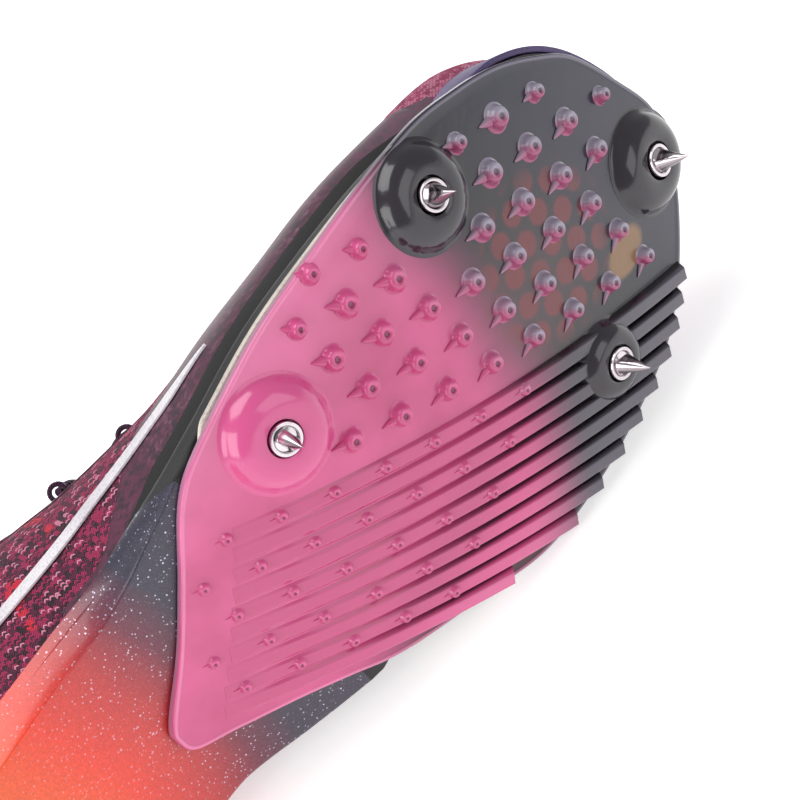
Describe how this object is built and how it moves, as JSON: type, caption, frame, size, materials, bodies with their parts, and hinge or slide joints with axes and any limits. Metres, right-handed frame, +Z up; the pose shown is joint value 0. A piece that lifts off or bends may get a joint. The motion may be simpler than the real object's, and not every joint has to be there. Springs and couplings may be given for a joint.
{
  "type": "track spike shoe",
  "caption": "Low running spike shoe lying on its inner side, with a knit upper, a ribbed forefoot spike plate with round bosses and metal spikes, and a cupped heel shell.",
  "frame": {"origin": "centre of the lying shoe's bounding box on the floor", "axes": "+Z up from the floor, +X from the heel to the toe, the sole faces -Y and a little up"},
  "size_m": [0.2734, 0.096, 0.0973],
  "materials": {
    "knit": "marled knit in magenta, plum and black with a clear film low on the sides",
    "lining": "dark brushed textile",
    "plate_pink": "translucent pink running into smoke grey at the toe",
    "plate_black": "smooth black",
    "unit_clear": "clear cushion film with a pale edge",
    "shell_orange": "speckled, dark plum at the front running into orange at the heel",
    "toe_navy": "satin navy",
    "steel": "bright turned steel",
    "tape_white": "pale speckled film",
    "cord": "fine woven cord"
  },
  "bodies": {
    "root": {"upper": "knit", "insole": "lining", "outsole_plate": "plate_pink", "forefoot_plate": "plate_black", "cushion_unit": "unit_clear", "midfoot_shell": "shell_orange", "toe_bumper": "toe_navy", "tongue": "lining", "lace": "cord", "side_tape": "tape_white", "spike_cup_toe": "steel", "spike_toe": "steel", "spike_cup_ball_inner": "steel", "spike_ball_inner": "steel", "spike_cup_ball_outer": "steel", "spike_ball_outer": "steel", "spike_cup_rear_outer": "steel", "spike_rear_outer": "steel", "eyelet_loop_outer_1": "cord", "eyelet_loop_outer_2": "cord", "eyelet_loop_outer_3": "cord", "eyelet_loop_outer_4": "cord", "eyelet_loop_outer_5": "cord", "eyelet_loop_inner_1": "cord", "eyelet_loop_inner_2": "cord", "eyelet_loop_inner_3": "cord", "eyelet_loop_inner_4": "cord", "eyelet_loop_inner_5": "cord"}
  },
  "joints": []
}
